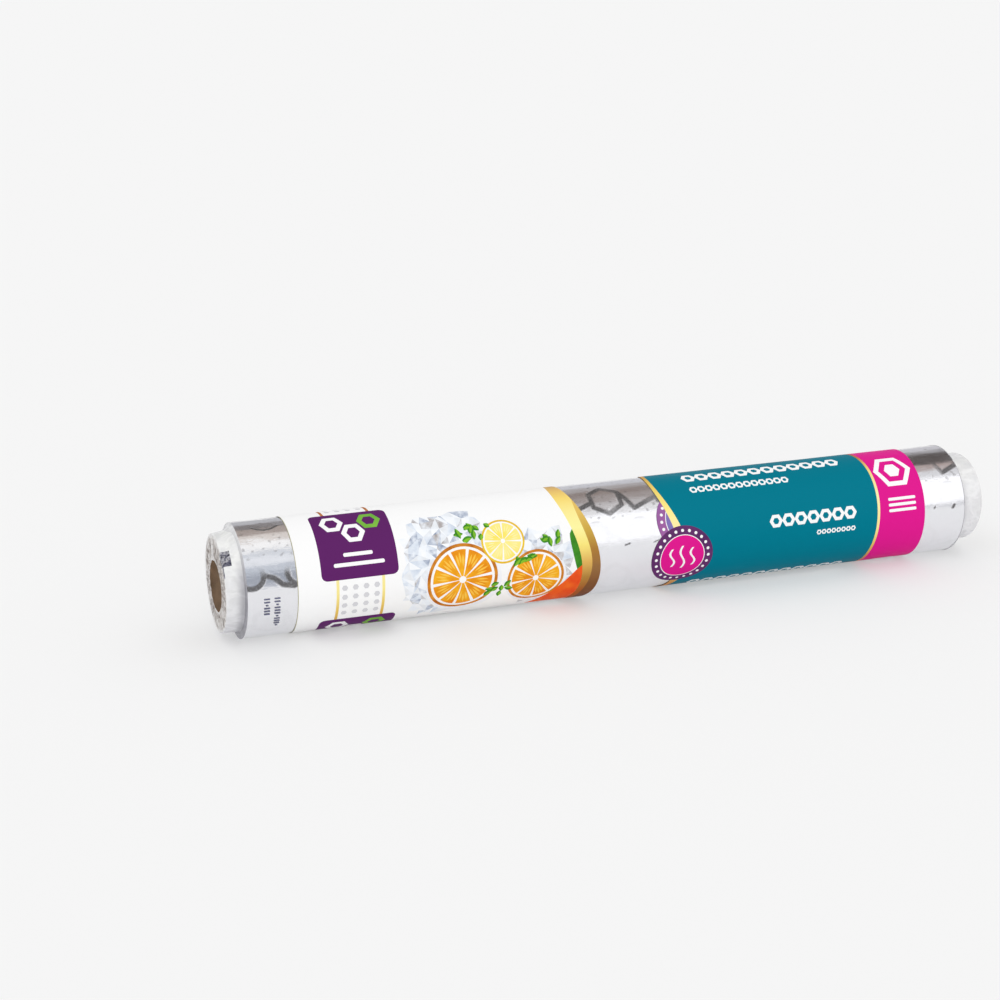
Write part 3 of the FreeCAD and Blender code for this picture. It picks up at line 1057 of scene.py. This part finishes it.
def build_barrel(settings):
    """The film over the foil: one sheet, cut along the borders of its printed fields."""
    scale = math.pi * FILM_RADIUS / 180.0
    sheet = [(0.0, FILM_START), (FOIL_WIDTH, FILM_START), (FOIL_WIDTH, FILM_STOP), (0.0, FILM_STOP)]
    fields = [("Clear Film", sheet)] + print_fields()
    flat, edges = [], []
    for _, outline in fields:
        first = len(flat)
        edges += [(first + k, first + (k + 1) % len(outline)) for k in range(len(outline))]
        flat += outline
    rim = np.arange(FILM_START, FILM_STOP, 2.0)
    flat += barrel_net() + [(0.0, a) for a in rim] + [(FOIL_WIDTH, a) for a in rim]
    plane = [Vector((float(along), float(around) * scale)) for along, around in flat]
    points, _, cells, _, _, _ = delaunay_2d_cdt(plane, edges, [], 0, 1e-4, False)
    along = np.array([p[0] for p in points])
    around = np.array([p[1] for p in points]) / scale
    cells = np.array(cells)
    middle_along, middle_around = along[cells].mean(axis=1), around[cells].mean(axis=1)
    inks = ink_materials(settings)
    inks["Clear Film"] = clear_film_material(settings)
    names = sorted(inks)
    owner = np.full(len(cells), -1)
    for name, outline in fields:
        owner[inside(outline, middle_along, middle_around)] = names.index(name)
    owner[~inside(sheet, middle_along, middle_around)] = -1
    cells, owner = cells[owner >= 0], owner[owner >= 0]
    used, cells = np.unique(cells, return_inverse=True)
    cells = cells.reshape(-1, 3)[:, ::-1]
    placed = on_roll(along, around, film_radius(along, around))[used]
    piece = make_object("film_barrel", placed, cells, [inks[name] for name in names], owner)
    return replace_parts(piece, "wrap_film")


# Film over the ends


def end_profile(around, run, overhang, loose, flare, rim_radius, bulge, seed):
    """Rows of (beyond the foil's edge, radius) from the foil's edge to the rim, and how far beyond the foil's edge the
    end lies.

    Each row is a pair of arrays round the roll. Beyond the foil counts as positive.
    """
    rows = []
    collar = COLLAR_RADIUS + loose
    drop = FILM_RADIUS + 0.02 - collar - flare
    pucker = ring_ripples(around, 10, 34, seed)
    for f in np.linspace(0.0, 1.0, SHOULDER_ROWS):
        lift = 0.07 * math.sin(math.pi * f) * (1 + pucker)
        rows.append((run * f, FILM_RADIUS + 0.02 - drop * f + lift))
    end = overhang + bulge
    collar_stop = end - rim_radius
    wrinkle = ring_ripples(around, 7, 26, seed + 1)
    fine = ring_ripples(around, 24, 60, seed + 2)
    for f in np.linspace(0.0, 1.0, 14)[1:]:
        fold = 0.05 * (1 + wrinkle * math.cos(2.2 * f)) + 0.02 * (1 + fine * math.sin(3.0 * f))
        wider = flare * (1 - f) ** 1.6
        rows.append((run + (collar_stop - run) * f, collar + wider + fold * min(1.0, 3 * f)))
    last = rows[-1][1]
    for step in range(1, 6):
        a = math.radians(90.0 * step / 5)
        rows.append((collar_stop + rim_radius * math.sin(a), last - rim_radius * (1 - math.cos(a))))
    return rows, end


def gather_profile(around, rim, end, drop, tuck, seed):
    """Rows of (beyond the foil's edge, radius) from the rim to the mouth, crumpled into pleats."""
    pleat = ring_ripples(around, PLEATS - 8, PLEATS + 10, seed)
    crumple = ring_ripples(around, 50, 95, seed + 1)
    mouth = MOUTH_RADIUS + 0.17 * ring_ripples(around, 3, 14, seed + 2) - drop * np.cos(np.radians(around))
    rows = []
    for f in np.linspace(0.0, 1.0, 24):
        grown = min(1.0, 2.2 * f) * (1 - 0.75 * rise(f, 0.7, 1.0))
        out = 0.24 * grown * pleat + 0.12 * grown * crumple * math.cos(5 * f)
        rows.append((end + 0.1 * math.sin(math.pi * f) - tuck * f**2.2 + out, rim + (mouth - rim) * f))
    return rows


def build_film_end(name, side, settings):
    """The film from the foil's edge down to the core, along it and gathered over its rim."""
    around = np.linspace(-180.0, 180.0, 360, endpoint=False)
    if side < 0:
        tent = np.exp(-(((around - TENT_AROUND) / TENT_SPREAD) ** 2))
        run = SHOULDER_LEFT + TENT_REACH * tent
        loose = LOOSE_LEFT - SAG_LEFT * np.cos(np.radians(around))
        flare = 0.2 + FLARE_LEFT * (0.5 + 0.5 * np.cos(np.radians(around - 35.0))) ** 2
        lean = LEAN_LEFT * (0.5 + 0.5 * np.cos(np.radians(around - 80.0)))
        rows, end = end_profile(around, run, FILM_OVERHANG_LEFT, loose, flare, 0.4, 0.2 + lean, seed=31)
        inner_rows = gather_profile(around, rows[-1][1], end, MOUTH_DROP, lean - 0.3, seed=35)
        edge = 0.0
    else:
        run = SHOULDER_RIGHT + 0 * around
        rows, end = end_profile(around, run, FILM_OVERHANG_RIGHT, LOOSE_RIGHT, 0.0, 2.3, 0.9, seed=41)
        inner_rows = gather_profile(around, rows[-1][1], end, 0.0, 1.2, seed=45)
        edge = FOIL_WIDTH
    first_inner = len(rows)
    rows = rows + inner_rows[1:]
    grid = np.stack([on_roll(edge + side * beyond, around, radius) for beyond, radius in rows])
    faces = grid_faces(grid.shape[0], grid.shape[1], closed=True)
    if side > 0:
        faces = faces[:, ::-1]
    row, column = np.divmod(np.arange(len(faces)), len(around))
    place = around[column]
    kind = np.where(row >= first_inner - 2, 1, 0)
    kind = np.where(row < SHOULDER_ROWS - 1, 3, kind)
    if side < 0:
        mark = (row >= MARK_ROW) & (row < first_inner + 3) & (place > 33) & (place < 53)
        # Painted shadow: a thin dark strip in the crease along the rim, below the mark, in the mark's material
        rim_crease_shadow = (row >= first_inner - 5) & (row < first_inner) & (place >= 53) & (place < 67)
        kind = np.where(mark | rim_crease_shadow, 2, kind)
    materials = [
        collar_film_material("Milky Film", settings.collar_haze, COLLAR_PAINTED_SHADE[side]),
        gathered_film_material(settings),
        mark_material(settings),
        collar_film_material("Shoulder Film", settings.shoulder_haze, SHOULDER_PAINTED_SHADE),
    ]
    piece = make_object(name, grid.reshape(-1, 3), faces, materials, kind.astype(int))
    # Painted highlight: the lip numbers lighten the gathered film along its rim and at the mouth
    share = np.clip((np.arange(len(rows)) - first_inner + 1) / (len(rows) - first_inner), 0, 1)
    lip = np.maximum(1 - share / 0.14, (share - 0.86) / 0.14)
    paint(piece, "lip", np.repeat(np.clip(lip, 0, 1), len(around)))
    # Painted shade on the film next to the foil's edge, on the lower front, stronger at the left end
    beyond = np.stack([row[0] + 0 * around for row in rows]) - run
    low_front = rise(around, 40.0, 75.0) * (1 - rise(around, 165.0, 180.0))
    paint(piece, "fold_shade", (1 - rise(beyond, 0.0, 3.4)) * low_front * (0.75 if side < 0 else 0.4))


# Stage


def background_rays(tree):
    """1 for rays that see the background itself or its reflection, and 0 for those that light the roll."""
    path = add_node(tree, "ShaderNodeLightPath")
    seen = calculate(tree, "MAXIMUM", path.outputs["Is Camera Ray"], path.outputs["Is Glossy Ray"])
    return calculate(tree, "MAXIMUM", seen, path.outputs["Is Transmission Ray"])


def build_floor(settings):
    half = 6.0
    corners = [(-half, -half, 0.0), (half, -half, 0.0), (half, half, 0.0), (-half, half, 0.0)]
    mesh = bpy.data.meshes.new("floor")
    mesh.from_pydata([(x, y, -0.0002) for x, y, _ in corners], [], [(0, 1, 2, 3)])
    material, tree, shader = new_material("Pale Floor", Base_Color=opaque(settings.backdrop), Roughness=1.0,
                                          Specular_IOR_Level=0.0)
    glow = add_node(tree, "ShaderNodeEmission", None, {"Color": opaque(settings.backdrop), "Strength": 1.0})
    share = calculate(tree, "MULTIPLY", background_rays(tree), settings.floor_glow)
    both = add_node(tree, "ShaderNodeMixShader", None, {0: share, 1: shader.outputs[0], 2: glow.outputs[0]})
    tree.links.new(both.outputs[0], tree.nodes["Material Output"].inputs["Surface"])
    mesh.materials.append(material)
    floor = bpy.data.objects.new("floor", mesh)
    bpy.context.scene.collection.objects.link(floor)


def build_panel(name, start, stop, left, right, colour):
    """A curved studio panel that only reflections see, in degrees around the roll's own axis."""
    points = []
    for angle in np.radians(np.linspace(start, stop, 12)):
        points += [(x, -PANEL_REACH * math.sin(angle), PANEL_REACH * math.cos(angle)) for x in (left, right)]
    faces = [(k, k + 1, k + 3, k + 2) for k in range(0, len(points) - 2, 2)]
    mesh = bpy.data.meshes.new(name)
    mesh.from_pydata(points, [], faces)
    mesh.materials.append(glow_material(name, colour, 1.0))
    panel = bpy.data.objects.new(name, mesh)
    panel.location.z = AXIS_HEIGHT * MM
    panel.visible_camera = False
    panel.visible_diffuse = False
    panel.visible_shadow = False
    panel.visible_volume_scatter = False
    bpy.context.scene.collection.objects.link(panel)


def build_panels():
    """Three bays of panels, which the left, middle and right of the foil mirror."""
    for bay, (left, right, panels) in enumerate(PANEL_BAYS, start=1):
        for number, (start, stop, colour) in enumerate(panels, start=1):
            build_panel("panel_%d_%d" % (bay, number), start, stop, left, right, colour)


def build_lamp(name, energy, angle, turns):
    light = bpy.data.lights.new(name, "SUN")
    light.energy = energy
    light.angle = math.radians(angle)
    light.specular_factor = 0.0
    lamp = bpy.data.objects.new(name, light)
    lamp.rotation_euler = [math.radians(turn) for turn in turns]
    bpy.context.scene.collection.objects.link(lamp)


def build_world(settings):
    """Even light, with the pale background seen directly and in reflections."""
    world = bpy.data.worlds.new("Studio")
    bpy.context.scene.world = world
    world.use_nodes = True
    tree = world.node_tree
    tree.nodes.clear()
    level = settings.world_light
    colour = blend_colours(tree, background_rays(tree), (level, level, level, 1.0), opaque(settings.backdrop))
    background = add_node(tree, "ShaderNodeBackground", None, {"Color": colour, "Strength": 1.0})
    result = add_node(tree, "ShaderNodeOutputWorld")
    tree.links.new(background.outputs[0], result.inputs["Surface"])


def build_camera():
    camera = bpy.data.objects.new("Camera", bpy.data.cameras.new("Camera"))
    azimuth, elevation = math.radians(CAMERA_AZIMUTH), math.radians(CAMERA_ELEVATION)
    back = Vector((math.sin(azimuth) * math.cos(elevation), -math.cos(azimuth) * math.cos(elevation),
                   math.sin(elevation)))
    camera.matrix_world = Matrix.Translation(Vector(CAMERA_PLACE) * MM) @ (
        back.to_track_quat("Z", "Y").to_matrix().to_4x4())
    camera.data.lens = CAMERA_LENS
    camera.data.clip_start = 0.01
    bpy.context.scene.collection.objects.link(camera)
    bpy.context.scene.camera = camera


# Settings, operators and panel


def colour_property(name, description, default):
    return FloatVectorProperty(name=name, description=description, default=default, size=3, subtype="COLOR",
                               min=0.0, max=1.0)


class FoilRollPrintSettings(bpy.types.PropertyGroup):
    teal: colour_property("Teal", "Main field of the print", tone(0, 121, 142))
    pink: colour_property("Pink", "Right-hand field and badge", tone(225, 28, 144))
    purple: colour_property("Purple", "Block and badge ring", tone(96, 37, 103))
    paper_white: colour_property("White", "White ink and milky film", tone(251, 251, 251))
    film_haze: FloatProperty(name="Film haze", description="How much the clear film hides", default=0.05,
                             min=0.0, max=1.0, subtype="FACTOR")
    collar_haze: FloatProperty(name="Collar haze", description="How much the film on the core hides", default=0.85,
                               min=0.0, max=1.0, subtype="FACTOR")
    shoulder_haze: FloatProperty(name="Shoulder haze", description="How much the film on the foil's edge hides",
                                 default=0.7, min=0.0, max=1.0, subtype="FACTOR")
    gather_haze: FloatProperty(name="Gather haze", description="How much the gathered film hides", default=0.8,
                               min=0.0, max=1.0, subtype="FACTOR")


class FoilRollFoilSettings(bpy.types.PropertyGroup):
    foil_colour: colour_property("Foil", "Colour of the bright foil", (0.90, 0.905, 0.94))
    foil_roughness: FloatProperty(name="Roughness", description="Blur of the foil's reflections", default=0.13,
                                  min=0.0, max=1.0, subtype="FACTOR")
    grain_strength: FloatProperty(name="Grain", description="Strength of the foil's fine grain", default=0.6,
                                  min=0.0, max=1.0, subtype="FACTOR")
    emboss_height: FloatProperty(name="Emboss height", description="Height of the embossed strokes in mm",
                                 default=0.05, min=0.0, max=0.15)
    # Painted shade: the dark colour of the strokes, in place of the light their roughness scatters
    stroke_shade_colour: colour_property("Stroke", "Colour of the roughened strokes", (0.11, 0.105, 0.11))
    stroke_depth: FloatProperty(name="Stroke depth", description="How dark the embossed strokes look", default=1.0,
                                min=0.0, max=1.0, subtype="FACTOR")
    card_brown: colour_property("Card", "Colour of the bare card", tone(228, 198, 168))
    paper_white: colour_property("Outer ply", "Colour of the core's outer ply", (0.90, 0.90, 0.89))


class FoilRollStageSettings(bpy.types.PropertyGroup):
    backdrop: colour_property("Backdrop", "Pale floor and background", tone(246, 246, 246))
    world_light: FloatProperty(name="World light", description="Level of the even light", default=0.95,
                               min=0.0, max=2.0)
    key_light: FloatProperty(name="Key light", description="Strength of the soft key lamp", default=0.1,
                             min=0.0, max=5.0)
    fill_light: FloatProperty(name="Fill light", description="Strength of the low front lamp", default=0.45,
                              min=0.0, max=5.0)
    floor_glow: FloatProperty(name="Floor glow", description="How much of the floor is seen without shadow",
                              default=0.42, min=0.0, max=1.0, subtype="FACTOR")


def dress(node_name, material):
    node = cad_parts[node_name]
    node.data.materials.clear()
    node.data.materials.append(material)


class FOILROLL_OT_core(bpy.types.Operator):
    """Dresses the card core tube"""
    bl_idname = "foilroll.core"
    bl_label = "Core Tube"

    def execute(self, context):
        dress("core_tube", card_material(context.scene.foilroll_foil))
        return {"FINISHED"}


class FOILROLL_OT_foil(bpy.types.Operator):
    """Dresses the winding's ends and makes its embossed outer turn"""
    bl_idname = "foilroll.foil"
    bl_label = "Foil"

    def execute(self, context):
        settings = context.scene.foilroll_foil
        dress("foil_winding", foil_edge_material(settings))
        build_outer_turn(settings)
        return {"FINISHED"}


class FOILROLL_OT_barrel(bpy.types.Operator):
    """Makes the printed film over the foil"""
    bl_idname = "foilroll.barrel"
    bl_label = "Printed Film"

    def execute(self, context):
        build_barrel(context.scene.foilroll_print)
        return {"FINISHED"}


class FOILROLL_OT_ends(bpy.types.Operator):
    """Makes the shrunk and gathered film at both ends"""
    bl_idname = "foilroll.ends"
    bl_label = "Film Ends"

    def execute(self, context):
        settings = context.scene.foilroll_print
        build_film_end("film_end_left", -1, settings)
        build_film_end("film_end_right", 1, settings)
        return {"FINISHED"}


class FOILROLL_OT_stage(bpy.types.Operator):
    """Sets up the floor, light, panels and camera"""
    bl_idname = "foilroll.stage"
    bl_label = "Stage"

    def execute(self, context):
        settings = context.scene.foilroll_stage
        context.scene.view_settings.view_transform = "Standard"
        build_floor(settings)
        build_world(settings)
        build_lamp("Soft Key", settings.key_light, 50.0, (28.0, -22.0, 0.0))
        build_lamp("Front Fill", settings.fill_light, 60.0, (86.0, 0.0, -15.0))
        build_panels()
        build_camera()
        return {"FINISHED"}


class FOILROLL_PT_panel(bpy.types.Panel):
    """Sizes, colours and pieces of the foil roll"""
    bl_idname = "FOILROLL_PT_panel"
    bl_label = "Foil Roll"
    bl_space_type = "VIEW_3D"
    bl_region_type = "UI"
    bl_category = "Foil Roll"

    def draw(self, context):
        layout = self.layout
        for settings in (context.scene.foilroll_print, context.scene.foilroll_foil, context.scene.foilroll_stage):
            box = layout.box()
            for name in settings.__annotations__:
                box.prop(settings, name)
        for operator in OPERATORS:
            layout.operator(operator.bl_idname)


SETTINGS = {
    "foilroll_print": FoilRollPrintSettings,
    "foilroll_foil": FoilRollFoilSettings,
    "foilroll_stage": FoilRollStageSettings,
}
OPERATORS = (
    FOILROLL_OT_core,
    FOILROLL_OT_foil,
    FOILROLL_OT_barrel,
    FOILROLL_OT_ends,
    FOILROLL_OT_stage,
)


def register():
    for cls in (*SETTINGS.values(), *OPERATORS, FOILROLL_PT_panel):
        bpy.utils.register_class(cls)
    for name, cls in SETTINGS.items():
        setattr(bpy.types.Scene, name, PointerProperty(type=cls))


def unregister():
    for name in SETTINGS:
        delattr(bpy.types.Scene, name)
    for cls in (FOILROLL_PT_panel, *reversed(OPERATORS), *reversed(list(SETTINGS.values()))):
        bpy.utils.unregister_class(cls)


def main():
    register()
    bpy.ops.foilroll.core()
    bpy.ops.foilroll.foil()
    bpy.ops.foilroll.barrel()
    bpy.ops.foilroll.ends()
    bpy.ops.foilroll.stage()


if __name__ == "__main__":
    main()
